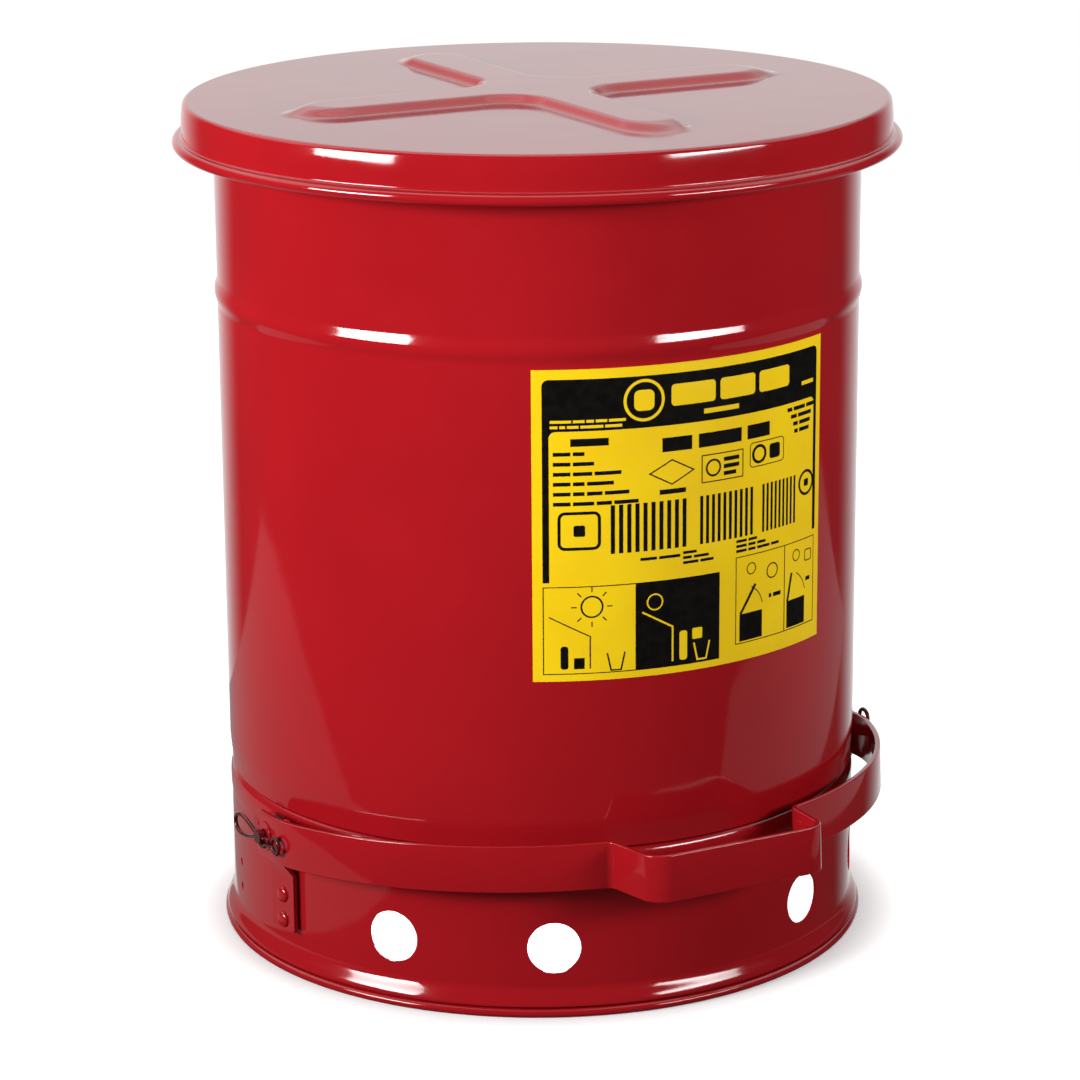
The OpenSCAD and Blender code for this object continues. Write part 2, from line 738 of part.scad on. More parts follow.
drum_shell();
rim_wire();
bottom_pan();
base_skirt();
foot_ring();
label();
pivot_bracket_left();
pivot_bracket_right();
bracket_rivets();
hinge_bracket();
hinge_bracket_rivets();
hinge_pin();
hinge_pin_clip();
hinge_washers();
rod_guide_upper();
rod_guide_lower();
guide_rivets();
lid_shell();
lid_hinge_leaf();
lid_hinge_rivets();
lift_lug();
pedal_strap();
pivot_shaft();
hairpin_left();
hairpin_right();
pivot_washers();
lift_lever();
lever_roll_pin();
lift_rod();
rod_clips();
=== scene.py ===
"""The looks of a foot-operated oily waste can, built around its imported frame."""

import json
import math

import bmesh
import bpy
from mathutils import Matrix, Vector


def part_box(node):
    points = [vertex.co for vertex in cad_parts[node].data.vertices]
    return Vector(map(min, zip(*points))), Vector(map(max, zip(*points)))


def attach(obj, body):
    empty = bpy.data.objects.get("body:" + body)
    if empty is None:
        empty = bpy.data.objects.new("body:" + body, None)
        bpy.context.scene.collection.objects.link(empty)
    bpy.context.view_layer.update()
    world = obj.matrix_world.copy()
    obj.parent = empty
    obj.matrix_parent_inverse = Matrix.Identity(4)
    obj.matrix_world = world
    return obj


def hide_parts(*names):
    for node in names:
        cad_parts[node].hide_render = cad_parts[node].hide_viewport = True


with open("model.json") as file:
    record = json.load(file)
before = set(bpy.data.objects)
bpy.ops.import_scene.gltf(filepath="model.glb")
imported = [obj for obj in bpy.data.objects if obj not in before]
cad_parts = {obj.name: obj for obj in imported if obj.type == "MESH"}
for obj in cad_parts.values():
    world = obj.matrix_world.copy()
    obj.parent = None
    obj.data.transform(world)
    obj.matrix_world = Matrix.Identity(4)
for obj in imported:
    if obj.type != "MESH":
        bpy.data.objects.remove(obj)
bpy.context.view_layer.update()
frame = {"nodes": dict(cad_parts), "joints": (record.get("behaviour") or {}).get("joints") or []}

MM = 0.001
X, Y, Z = 0, 1, 2


def span(node, axis):
    """Lowest and highest place of a CAD node along an axis, in millimetres."""
    low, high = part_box(node)
    return round(low[axis] / MM, 1), round(high[axis] / MM, 1)


def joint_place(name):
    """Y and Z of a hinge joint, in millimetres."""
    joint = next(j for j in frame["joints"] if j["name"] == name)
    return joint["pos_m"][Y] / MM, joint["pos_m"][Z] / MM


# Sizes in millimetres, angles in degrees. Places that the frame gives are read from it.
SEGMENTS = 384
SHEET = 1.2
GAP = 0.05
CREASE = 38
FRONT, REAR = -90, 90

DRUM_R = 177.0
SHELF_Z = span("bottom_pan", Z)[0]
BEAD_Z, BEAD_H, BEAD_W = 363.0, 1.5, 16.0
TUCK_H, TUCK_DEPTH = 17.0, 1.0
WIRE_R = 1.6
CURL_R = WIRE_R + SHEET
CURL_AT = (DRUM_R + WIRE_R, span("rim_wire", Z)[1] - WIRE_R)

SKIRT_R = 176.7
HEM_R, HEM_Z = 177.1, (75.0, 84.0)
SHELF_W = 12.0
FOOT_R = span("foot_ring", X)[1]
FOOT_H = span("foot_ring", Z)[1]
FOOT_W = 4.8
FLARE_H, FLARE_INSET = 12.2, 1.2
GROOVE_H, GROOVE_DEPTH = 1.6, 2.2
VENT_D, VENT_Z, VENT_ANGLES = 28.5, 38.0, (26, 55)
PIVOT_HOLE_D = 14.0
SPARE_HOLE_D, SPARE_HOLE_Y, SPARE_HOLE_Z = 4.5, 33.0, (27.5, 42.0)
LEVER_SLOT_HALF_W, LEVER_SLOT_Z = 7.0, (43.0, 85.0)

RIB_H = 4.3
TOP_Z = span("lid_shell", Z)[1] - RIB_H
LID_R = 194.0
LID_CORNER_R, LID_LEAN, LID_LEAN_R = 2.8, 10.0, 60.0
LID_BEAD = (196.0, 444.6)
LID_BEAD_R, LID_BEAD_FILLET = 3.1, 1.6
RIB_REACH, RIB_HALF_W, RIB_FILLET = 137.0, 17.0, 24.0
# How far the cross's slopes spread outside and inside its outline, and how far its arms' feet reach on
RIB_SLOPE = (4.0, 4.5)
RIB_TIP = 13.0

PIVOT_Y, PIVOT_Z = joint_place("pedal_pivot")
HINGE_Z = joint_place("lid_hinge")[1]
STRAP_R, STRAP_T, STRAP_H = 193.5, 3.0, 25.4
STRAP_SIDE_X, STRAP_END_Y, STRAP_END_R = 187.0, -20.0, 5.0
STEP_FRONT_Y, STEP_HALF_W, STEP_SPLAY, STEP_CORNER_R = -223.6, 53.0, 4.0, 13.0
PEDAL_TILT = 3.5
CLIP_X, CLIP_WIRE_D = 189.3, 2.3
BRACKET_R, BRACKET_T = 178.2, 2.5
BRACKET_DIR = -math.degrees(math.asin(-PIVOT_Y / (BRACKET_R + BRACKET_T / 2)))

ROD_D, ROD_X, ROD_Y, ROD_BEND_R = 6.0, 10.0, 190.0, 6.0
ROD_LEG_END = -8.0
GUIDE_Z = (140.0, 300.0)
GUIDE_DIR = math.degrees(math.atan2(ROD_Y, ROD_X))

LABEL_Z = span("label", Z)
LABEL_HALF_ANGLE = 29.35
LABEL_R, LABEL_T = DRUM_R + 0.35, 0.3
LABEL_W = math.radians(2 * LABEL_HALF_ANGLE) * LABEL_R
PRINT_T, BLACK_PRINT_R, YELLOW_PRINT_R = 0.05, LABEL_R + 0.01, LABEL_R + 0.07


# ---- Shapes ----

def soft_step(t):
    """A soft step from 0 to 1 as t runs from 0 to 1."""
    return (1 - math.cos(math.pi * min(1.0, max(0.0, t)))) / 2


def firm_step(t, ease=0.3):
    """A straight ramp from 0 to 1 with a short rounded start and end."""
    t = min(1.0, max(0.0, t))
    if t > 0.5:
        return 1 - firm_step(1 - t, ease)
    top = 1 / (2 * (1 - ease))
    return top * t * t / ease if t < ease else top * (2 * t - ease)


def hump(z, middle, width):
    """A soft hump of height 1 round middle, width across."""
    return soft_step(1 - abs(z - middle) / (width / 2))


def steps(start, end, count):
    """Evenly spaced numbers from start to end, both included."""
    return [start + (end - start) * i / count for i in range(count + 1)]


def arc(centre, radius, start, end, count):
    """Points of an arc, its angles in degrees. The radius may be a pair, for an ellipse."""
    rx, ry = radius if isinstance(radius, tuple) else (radius, radius)
    turns = [math.radians(a) for a in steps(start, end, count)]
    return [(centre[0] + rx * math.cos(a), centre[1] + ry * math.sin(a)) for a in turns]


def polar(radius, angle, z):
    """A point from its radius, its angle from +X in degrees, and its height."""
    a = math.radians(angle)
    return Vector((radius * math.cos(a), radius * math.sin(a), z))


def skin(rings, loop=False):
    """The points and faces that join equal rings, with flat ends unless the rings close on themselves."""
    n, count = len(rings[0]), len(rings)
    points = [p for ring in rings for p in ring]
    faces = []
    for i in range(count if loop else count - 1):
        near, far = i * n, (i + 1) % count * n
        faces += [(near + k, near + (k + 1) % n, far + (k + 1) % n, far + k) for k in range(n)]
    if not loop:
        faces += [tuple(range(n)), tuple(range((count - 1) * n, count * n))]
    return points, faces


def joined(shapes):
    """Several shapes as one list of points and one of faces."""
    points, faces = [], []
    for some_points, some_faces in shapes:
        faces += [tuple(i + len(points) for i in face) for face in some_faces]
        points += some_points
    return points, faces


def lathe(profile, start=0, end=360, count=SEGMENTS):
    """A closed profile of (radius, height) points turned about the drum's axis."""
    whole = end - start == 360
    angles = steps(start, end, count)[: count if whole else count + 1]
    return skin([[polar(r, a, z) for r, z in profile] for a in angles], loop=whole)


def tube(path, radius, sides=16):
    """A round rod along a path, carried from point to point without twist."""
    path = [Vector(p) for p in path]
    last = len(path) - 1
    ahead = [(path[min(i + 1, last)] - path[max(i - 1, 0)]).normalized() for i in range(last + 1)]
    across = ahead[0].orthogonal().normalized()
    rings = []
    for i, (point, along) in enumerate(zip(path, ahead)):
        if i:
            across = ahead[i - 1].rotation_difference(along) @ across
        other = along.cross(across)
        rings.append([point + radius * (math.cos(a) * across + math.sin(a) * other)
                      for a in steps(0, 2 * math.pi, sides)[:-1]])
    return skin(rings)


def bent(corners, count=8):
    """A path through (point, bend radius) corners, each bent to its radius."""
    points = [Vector(p) for p, _ in corners]
    path = [points[0]]
    for before, (at, radius), after in zip(points, corners[1:], points[2:]):
        at = Vector(at)
        if radius == 0:
            path.append(at)
            continue
        back, on = (before - at).normalized(), (after - at).normalized()
        half = back.angle(on) / 2
        centre = at + (back + on).normalized() * radius / math.sin(half)
        reach = radius / math.tan(half)
        first, final = (at + back * reach - centre).normalized(), (at + on * reach - centre).normalized()
        path += [centre + radius * first.slerp(final, t) for t in steps(0, 1, count)]
    return path + [points[-1]]


def eased(path, rounds=2):
    """A path with its corners cut, rounds times over."""
    for _ in range(rounds):
        cut = [path[0]]
        for a, b in zip(path, path[1:]):
            cut += [a.lerp(b, 0.25), a.lerp(b, 0.75)]
        path = cut + [path[-1]]
    return path


def peg(radius, direction, z, profile, sides=32):
    """A small turned shape that stands out of the drum's side, from its (radius, distance out) points."""
    out = polar(1, direction, 0)
    up = Vector((0, 0, 1))
    side = up.cross(out)
    foot = polar(radius, direction, z)
    turns = steps(0, 2 * math.pi, sides)[:-1]
    return skin([[foot + out * h + r * (math.cos(a) * side + math.sin(a) * up) for a in turns]
                 for r, h in profile])


def rivet_shapes(places, head_d, head_h, grip):
    """Domed heads outside and flat tails inside, at (direction, radius, height) places."""
    edge_r, brim = head_d / 2, 0.25
    head = [(edge_r, -0.1), (edge_r, brim)]
    head += [(edge_r * math.cos(t), brim + (head_h - brim) * math.sin(t)) for t in steps(0.15, 1.53, 9)]
    tail_r = head_d * 0.4
    tail = [(tail_r, 0.1), (tail_r, -0.7), (tail_r - 0.3, -1.0)]
    shapes = [peg(r, direction, z, head) for direction, r, z in places]
    return shapes + [peg(r - grip, direction, z, tail) for direction, r, z in places]


# ---- Pieces ----

def piece(name, mesh, body, material, stands_for=(), crease=CREASE):
    """Makes the mesh an object with outward faces and smooth shading that rides on its body."""
    mesh.shade_smooth()
    mesh.set_sharp_from_angle(angle=math.radians(crease))
    mesh.materials.clear()
    mesh.materials.append(material)
    obj = bpy.data.objects.new(name, mesh)
    bpy.context.scene.collection.objects.link(obj)
    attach(obj, body)
    if stands_for:
        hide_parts(*stands_for)
    return obj


def solid_mesh(name, shape):
    """A mesh in metres from points in millimetres, its faces turned outwards."""
    points, faces = shape
    bm = bmesh.new()
    verts = [bm.verts.new(Vector(p) * MM) for p in points]
    for face in faces:
        bm.faces.new([verts[i] for i in face])
    bmesh.ops.recalc_face_normals(bm, faces=bm.faces)
    mesh = bpy.data.meshes.new(name)
    bm.to_mesh(mesh)
    bm.free()
    return mesh


def solid(name, shape, body, material, stands_for=(), crease=CREASE):
    """A closed shape as a piece."""
    return piece(name, solid_mesh(name, shape), body, material, stands_for, crease)


def refined(node, body, material, softness):
    """A CAD node's own shape with whole flat faces and softened edges, in its place."""
    same_place, same_plane = 0.01 * MM, math.radians(0.8)
    bm = bmesh.new()
    bm.from_mesh(frame["nodes"][node].data)
    bmesh.ops.remove_doubles(bm, verts=bm.verts, dist=same_place)
    bmesh.ops.dissolve_limit(bm, angle_limit=same_plane, verts=bm.verts, edges=bm.edges)
    sharp = [e for e in bm.edges if len(e.link_faces) == 2 and e.calc_face_angle() > math.radians(CREASE)]
    bmesh.ops.bevel(bm, geom=sharp, offset=softness * MM, offset_type="OFFSET", segments=2,
                    profile=0.6, affect="EDGES", clamp_overlap=True)
    mesh = bpy.data.meshes.new(node + "_part")
    bm.to_mesh(mesh)
    bm.free()
    obj = piece(node + "_part", mesh, body, material, [node])
    even = obj.modifiers.new("even_shading", "WEIGHTED_NORMAL")
    even.keep_sharp = True
    return obj


def settle(obj):
    """Applies the object's modifiers to its mesh."""
    bpy.context.view_layer.update()
    done = bpy.data.meshes.new_from_object(obj.evaluated_get(bpy.context.evaluated_depsgraph_get()))
    obj.modifiers.clear()
    obj.data = done


def true_round(mesh):
    """Points the normals of walls turned about the drum's axis straight out from it, or straight in."""
    upright, nearly_straight = 0.1, 0.998
    normals = []
    for corner, loop in zip(mesh.corner_normals, mesh.loops):
        normal = corner.vector.copy()
        at = mesh.vertices[loop.vertex_index].co
        out = Vector((at.x, at.y, 0)).normalized()
        flat = Vector((normal.x, normal.y, 0))
        if flat.length > upright and abs(flat.normalized().dot(out)) > nearly_straight:
            flat = out * math.copysign(flat.length, flat.dot(out))
            normal = Vector((flat.x, flat.y, normal.z))
        normals.append(normal)
    mesh.normals_split_custom_set(normals)


# ---- Materials ----

def node_adder(tree):
    """A function that adds a node to the tree, sets its values and links its inputs."""
    def add(kind, links=(), **values):
        node = tree.nodes.new("ShaderNode" + kind)
        for key, value in values.items():
            if key in node.bl_rna.properties:
                setattr(node, key, value)
            else:
                node.inputs[key.replace("_", " ")].default_value = value
        for source, socket in links:
            tree.links.new(source, node.inputs[socket])
        return node

    return add


def new_material(name, base, roughness, metallic=0.0, specular=0.5):
    """A material with its shader set, its node tree, its shader and its node adder."""
    material = bpy.data.materials.new(name)
    material.use_nodes = True
    tree = material.node_tree
    shader = tree.nodes["Principled BSDF"]
    shader.inputs["Base Color"].default_value = (*base, 1)
    shader.inputs["Roughness"].default_value = roughness
    shader.inputs["Metallic"].default_value = metallic
    shader.inputs["Specular IOR Level"].default_value = specular
    return material, tree, shader, node_adder(tree)


def ramp(add, value, low, high, start, end, shape="SMOOTHSTEP"):
    """A number that runs from start to end as the value goes from low to high."""
    node = add("MapRange", [(value, "Value")], interpolation_type=shape)
    for name, number in zip(("From Min", "From Max", "To Min", "To Max"), (low, high, start, end)):
        node.inputs[name].default_value = number
    return node.outputs["Result"]


def vary(tree, add, socket, coordinates, scale, low, high, detail=3.0, edges=(0.35, 0.65)):
    """Drives a number socket between low and high by soft noise."""
    noise = add("TexNoise", [(coordinates, "Vector")], Scale=scale, Detail=detail)
    tree.links.new(ramp(add, noise.outputs["Fac"], *edges, low, high, "LINEAR"), socket)


def mottle(tree, add, shader, coordinates, scale, other, share, detail=4.0):
    """Mixes the base colour towards another one in soft patches."""
    mix = add("Mix", data_type="RGBA")
    colour_a, colour_b = mix.inputs[6], mix.inputs[7]
    colour_a.default_value = shader.inputs["Base Color"].default_value
    colour_b.default_value = (*other, 1)
    vary(tree, add, mix.inputs["Factor"], coordinates, scale, 0.0, share, detail)
    tree.links.new(mix.outputs[2], shader.inputs["Base Color"])


def bumps(tree, add, shader, coordinates, layers):
    """Chains bump layers of (noise scale, strength, depth in metres)."""
    under = None
    for scale, strength, depth in layers:
        noise = add("TexNoise", [(coordinates, "Vector")], Scale=scale, Detail=2.0)
        links = [(noise.outputs["Fac"], "Height")]
        if under:
            links.append((under.outputs["Normal"], "Normal"))
        under = add("Bump", links, Strength=strength, Distance=depth)
    tree.links.new(under.outputs["Normal"], shader.inputs["Normal"])


def object_coordinates(add):
    """Places on the object, in metres."""
    return add("TexCoord").outputs["Object"]


def red_enamel():
    """Glossy baked enamel: orange peel, slow sheet waves, faint haze and handling marks."""
    material, tree, shader, add = new_material("red_enamel", (0.37, 0.0070, 0.0115), 0.07)
    where = object_coordinates(add)
    mottle(tree, add, shader, where, 9.0, (0.32, 0.0055, 0.0095), 0.8)
    vary(tree, add, shader.inputs["Roughness"], where, 38.0, 0.05, 0.11, 5.0)
    bumps(tree, add, shader, where, [(14.0, 0.25, 0.0006), (420.0, 0.10, 0.00008)])
    return material


def zinc_plate():
    """Zinc-plated steel: cloudy patches and fine grain."""
    material, tree, shader, add = new_material("zinc_plate", (0.62, 0.62, 0.60), 0.34, 1.0)
    where = object_coordinates(add)
    mottle(tree, add, shader, where, 160.0, (0.42, 0.42, 0.41), 0.8)
    vary(tree, add, shader.inputs["Roughness"], where, 260.0, 0.25, 0.45)
    bumps(tree, add, shader, where, [(900.0, 0.2, 0.00005)])
    return material


def clip_wire():
    """Spring wire under a thin, dark coat of the can's enamel."""
    material, tree, shader, add = new_material("clip_wire", (0.045, 0.006, 0.007), 0.22, 0.35)
    where = object_coordinates(add)
    mottle(tree, add, shader, where, 240.0, (0.16, 0.010, 0.012), 0.9)
    vary(tree, add, shader.inputs["Roughness"], where, 300.0, 0.14, 0.32)
    bumps(tree, add, shader, where, [(700.0, 0.25, 0.00006)])
    return material


def label_vinyl():
    """Yellow vinyl with a faint grain and slightly uneven ink."""
    material, tree, shader, add = new_material("label_vinyl", (0.93, 0.63, 0.006), 0.4, specular=0.25)
    where = object_coordinates(add)
    mottle(tree, add, shader, where, 30.0, (0.88, 0.57, 0.005), 0.9)
    vary(tree, add, shader.inputs["Roughness"], where, 120.0, 0.28, 0.42)
    bumps(tree, add, shader, where, [(900.0, 0.12, 0.00003)])
    return material


def black_ink():
    """Printed black ink, a little uneven."""
    material, tree, shader, add = new_material("black_ink", (0.0035, 0.003, 0.0025), 0.5, specular=0.04)
    where = object_coordinates(add)
    mottle(tree, add, shader, where, 200.0, (0.007, 0.006, 0.005), 0.9)
    vary(tree, add, shader.inputs["Roughness"], where, 150.0, 0.45, 0.55)
    return material


ENAMEL = red_enamel()
ZINC = zinc_plate()
CLIP_WIRE = clip_wire()
VINYL = label_vinyl()
INK = black_ink()


# ---- Drum ----

def drum_wall():
    """The rolled wall with its tucked lower edge, stiffening bead and curled rim."""
    foot = SHELF_Z + SHEET

    def outer_r(z):
        return (DRUM_R + BEAD_H * hump(z, BEAD_Z, BEAD_W)
                - TUCK_DEPTH * (1 - soft_step((z - foot) / TUCK_H)))

    heights = steps(foot, foot + TUCK_H, 10)
    heights += steps(BEAD_Z - BEAD_W / 2, BEAD_Z + BEAD_W / 2, 28)
    outer = [(outer_r(z), z) for z in heights]
    inner = [(r - SHEET, z) for r, z in reversed(outer)]
    under_wire = arc(CURL_AT, WIRE_R + GAP, 180, -60, 20)
    over_wire = arc(CURL_AT, CURL_R, -60, 180, 26)
    shape = lathe(outer + under_wire + over_wire + inner)
    obj = solid("drum_wall", shape, "drum", ENAMEL, ["drum_shell"], crease=50)
    true_round(obj.data)


def rim_wire():
    """The wire that the rim is curled round."""
    hoop = lathe(arc(CURL_AT, WIRE_R, 0, 330, 11))
    solid("rim_stiffening_wire", hoop, "drum", ZINC, ["rim_wire"])


def bottom_pan():
    """The raised bottom, its flange turned up inside the wall. It stops at a pinhole on the axis."""
    rim_r = span("bottom_pan", X)[1]
    rim_z = span("bottom_pan", Z)[1]
    corner, pinhole_r, flat_r = 3.0, 0.5, rim_r - 40
    outer = [(pinhole_r, SHELF_Z), (flat_r, SHELF_Z)]
    outer += arc((rim_r - corner, SHELF_Z + corner), corner, -90, 0, 6) + [(rim_r, rim_z)]
    inner = [(rim_r - SHEET, rim_z)]
    inner += arc((rim_r - corner, SHELF_Z + corner), corner - SHEET, 0, -90, 6)
    inner += [(flat_r, SHELF_Z + SHEET), (pinhole_r, SHELF_Z + SHEET)]
    obj = solid("bottom_sheet", lathe(outer + inner), "drum", ENAMEL, ["bottom_pan"])
    true_round(obj.data)


def skirt_wall():
    """The vented skirt: flared foot with a groove above its ring, straight wall, swelling hem and shelf."""
    groove_top = FOOT_H + GROOVE_H
    swell_h = HEM_Z[1] - HEM_Z[0] - 3

    def outer_r(z):
        flare = (FOOT_R - FLARE_INSET - SKIRT_R) * soft_step(1 - (z - FOOT_H) / FLARE_H)
        groove = GROOVE_DEPTH * soft_step(1 - (z - FOOT_H) / GROOVE_H)
        swell = (HEM_R - SKIRT_R) * soft_step((z - HEM_Z[0]) / swell_h)
        return SKIRT_R + flare - groove + swell

    heights = steps(FOOT_H, groove_top, 6)[:-1]
    heights += steps(groove_top, FOOT_H + FLARE_H, 12)
    heights += steps(*HEM_Z, 8)
    outer = [(outer_r(z), z) for z in heights]
    shelf_z = SHELF_Z - GAP
    shoulder_w, shoulder_h = 3.0, shelf_z - HEM_Z[1]
    shoulder_at = (HEM_R - shoulder_w, HEM_Z[1])
    outer += arc(shoulder_at, (shoulder_w, shoulder_h), 8, 90, 12) + [(HEM_R - SHELF_W, shelf_z)]
    inner = [(HEM_R - SHELF_W, shelf_z - SHEET)]
    inner += arc(shoulder_at, (shoulder_w - SHEET, shoulder_h - SHEET), 90, 8, 8)
    inner += [(r - SHEET, z) for r, z in reversed(outer[: len(heights)])]
    obj = solid("skirt_wall", lathe(outer + inner), "drum", ENAMEL, ["base_skirt"])
    punch(obj, skirt_holes())


def skirt_holes():
    """Tools that punch the vents, the pivot clearance and spare holes, and the lever's slot."""
    reach = 12

    def tool(direction, z, diameter, sides):
        return peg(SKIRT_R - reach, direction, z, [(diameter / 2, 0), (diameter / 2, 2 * reach)], sides)

    tools = [tool(middle + side * angle, VENT_Z, VENT_D, 96)
             for middle in (FRONT, REAR) for side in (-1, 1) for angle in VENT_ANGLES]
    pivot_dir = math.degrees(math.asin(PIVOT_Y / SKIRT_R))
    spare_dir = math.degrees(math.asin(SPARE_HOLE_Y / SKIRT_R))
    for direction in (pivot_dir, 180 - pivot_dir):
        tools.append(tool(direction, PIVOT_Z, PIVOT_HOLE_D, 48))
    for direction in (spare_dir, 180 - spare_dir):
        tools += [tool(direction, z, SPARE_HOLE_D, 24) for z in SPARE_HOLE_Z]
    low, high = LEVER_SLOT_Z
    slot = [(LEVER_SLOT_HALF_W * side, z) for side, z in ((-1, low), (-1, high), (1, high), (1, low))]
    tools.append(skin([[Vector((x, y, z)) for x, z in slot] for y in (SKIRT_R - reach, SKIRT_R + reach)]))
    return tools


def punch(obj, tools):
    """Cuts the tools out of a turned wall and keeps its shading truly round."""
    cutter = bpy.data.objects.new("cutter", solid_mesh("cutter", joined(tools)))
    bpy.context.scene.collection.objects.link(cutter)
    cut = obj.modifiers.new("punch", "BOOLEAN")
    cut.operation, cut.solver, cut.object = "DIFFERENCE", "EXACT", cutter
    settle(obj)
    bpy.data.objects.remove(cutter)
    obj.data.shade_smooth()
    obj.data.set_sharp_from_angle(angle=math.radians(CREASE))
    true_round(obj.data)


def foot_ring():
    """The rolled ring that the can stands on."""
    half, corner = FOOT_H / 2, 1
    corner_at = FOOT_R - FOOT_W + corner
    profile = arc((FOOT_R - half, half), half, -90, 90, 14)
    profile += arc((corner_at, FOOT_H - corner), corner, 90, 180, 4)
    profile += arc((corner_at, corner), corner, 180, 270, 4)
    obj = solid("foot_bead", lathe(profile), "drum", ENAMEL, ["foot_ring"])
    true_round(obj.data)


# ---- Label ----

def label_sheet():
    """The bare yellow sheet on the drum's front."""
    low, high = LABEL_Z
    back_r = LABEL_R - LABEL_T
    profile = [(back_r, low), (LABEL_R, low), (LABEL_R, high), (back_r, high)]
    shape = lathe(profile, FRONT - LABEL_HALF_ANGLE, FRONT + LABEL_HALF_ANGLE, 120)
    obj = solid("label_sheet", shape, "drum", VINYL, ["label"])
    true_round(obj.data)


def bar(x0, y0, x1, y1, radius=0.0):
    """A filled bar on the label, in millimetres across and down from its top left corner."""
    if radius == 0:
        return [[(x0, y0), (x1, y0), (x1, y1), (x0, y1)]]
    corners = [(x1 - radius, y0 + radius, -90), (x1 - radius, y1 - radius, 0),
               (x0 + radius, y1 - radius, 90), (x0 + radius, y0 + radius, 180)]
    return [[p for x, y, turn in corners for p in arc((x, y), radius, turn, turn + 90, 6)]]


def stroke(points, width, closed=False):
    """A line of even width through points, as quads with mitred corners."""
    points = [Vector(p) for p in points]
    count = len(points)
    sides = []
    for i, point in enumerate(points):
        before = point - points[i - 1] if closed or i else points[1] - point
        after = points[(i + 1) % count] - point if closed or i < count - 1 else before
        before, after = before.normalized(), after.normalized()
        across = Vector((-(before + after).y, (before + after).x)).normalized()
        reach = width / 2 / max(0.4, across.dot(Vector((-before.y, before.x))))
        sides.append((point + across * reach, point - across * reach))
    pairs = zip(sides, sides[1:] + sides[:1]) if closed else zip(sides, sides[1:])
    return [[a[0], b[0], b[1], a[1]] for a, b in pairs]


def ring(x, y, radius, width):
    """The outline of a circle."""
    return stroke(arc((x, y), radius, 0, 350, 35), width, closed=True)


def frame_line(x0, y0, x1, y1, width, radius=0.01):
    """The outline of a box."""
    return stroke(bar(x0, y0, x1, y1, radius)[0], width, closed=True)


def dashes(x, y, lengths, height, gap=1.3):
    """A row of plain bars that stand where a line of print would be."""
    row = []
    for length in lengths:
        row += bar(x, y, x + length, y + height)
        x += length + gap
    return row


def bin_lines(x, y, size, width):
    """An open, tapered bin in outline."""
    return stroke([(x, y), (x + size * 0.22, y + size), (x + size * 0.78, y + size), (x + size, y)], width)


def header_outline():
    """The black header with a bar down each side, round the corners of the panel between them."""
    left, right, top, foot = 5.4, LABEL_W - 4.2, 5.2, 32.5
    inner_left, inner_right, r = left + 3.4, right - 2.6, 3.5
    outline = arc((left + r, top + r), r, 180, 270, 6)
    outline += arc((right - r, top + r), r, 270, 360, 6)
    outline += [(right, 106), (inner_right, 106)]
    outline += arc((inner_right - r, foot + r), r, 0, -90, 6)
    outline += arc((inner_left + r, foot + r), r, 270, 180, 6)
    return [outline + [(inner_left, 113), (left, 113)]]


def thin_rows():
    """The left column of thin lines, and the block at the top right."""
    shapes = bar(20, 36.5, 40, 40.5)
    left_rows = [(9, 6), (9, 11), (9, 10, 14), (9, 6, 14), (9, 6, 8, 13), (9, 11, 8, 13)]
    for row, lengths in enumerate(left_rows):
        shapes += dashes(11, 43.5 + 5.3 * row, lengths, 2.0)
    right_rows = [(151, (4, 10, 8)), (154, (5, 12)), (156, (4, 10)), (157, (3, 9))]
    for row, (x, lengths) in enumerate(right_rows):
        shapes += dashes(x, 35 + 4.1 * row, lengths, 2.1)
    return shapes


def title_and_emblems():
    """A title of three bars over a diamond and two framed, meaningless emblems."""
    shapes = dashes(69, 39, (17, 27, 16), 7.5, 4)
    shapes += stroke([(62, 57.5), (74.5, 51), (87, 57.5), (74.5, 64)], 0.7, closed=True)
    shapes += dashes(67.5, 66.5, (15,), 2.6)
    shapes += frame_line(92, 51, 118, 65.5, 0.6) + ring(99, 58.2, 4.2, 1.1)
    for row in range(3):
        shapes += dashes(105.5, 53.5 + 3.8 * row, (10 - 2 * (row == 2),), 2.2)
    shapes += frame_line(123, 49, 148, 62, 0.5, 2.0)
    shapes += ring(129.5, 55.5, 4.4, 1.6) + bar(137, 51.5, 145, 59.5, 1.5)
    return shapes


def large_row():
    """Three groups of upright bars between two plain signs, with small print under them."""
    shapes = []
    for start, end, count in ((41, 85, 10), (91, 127, 10), (132, 160, 9)):
        pitch = (end - start) / count
        for i in range(count):
            x = start + pitch * i
            shapes += bar(x, 72.5, x + pitch * 0.5, 98.5)
    shapes += frame_line(14, 76, 35, 95, 1.6, 3.0) + bar(21.5, 82.5, 27.5, 88.5, 1.0)
    shapes += ring(168.3, 78.5, 6.3, 1.5) + bar(166.3, 76.5, 170.3, 80.5, 0.8)
    shapes += dashes(57, 102, (9, 12), 1.6)
    for row, lengths in enumerate([(8,), (5, 9), (9, 8)]):
        shapes += dashes(81, 101 + 2.7 * row, lengths, 1.5)
        shapes += dashes(114, 100 + 2.7 * row, (7, 5, 9, 6)[: 1 + row] + (6,), 1.5)
    return shapes


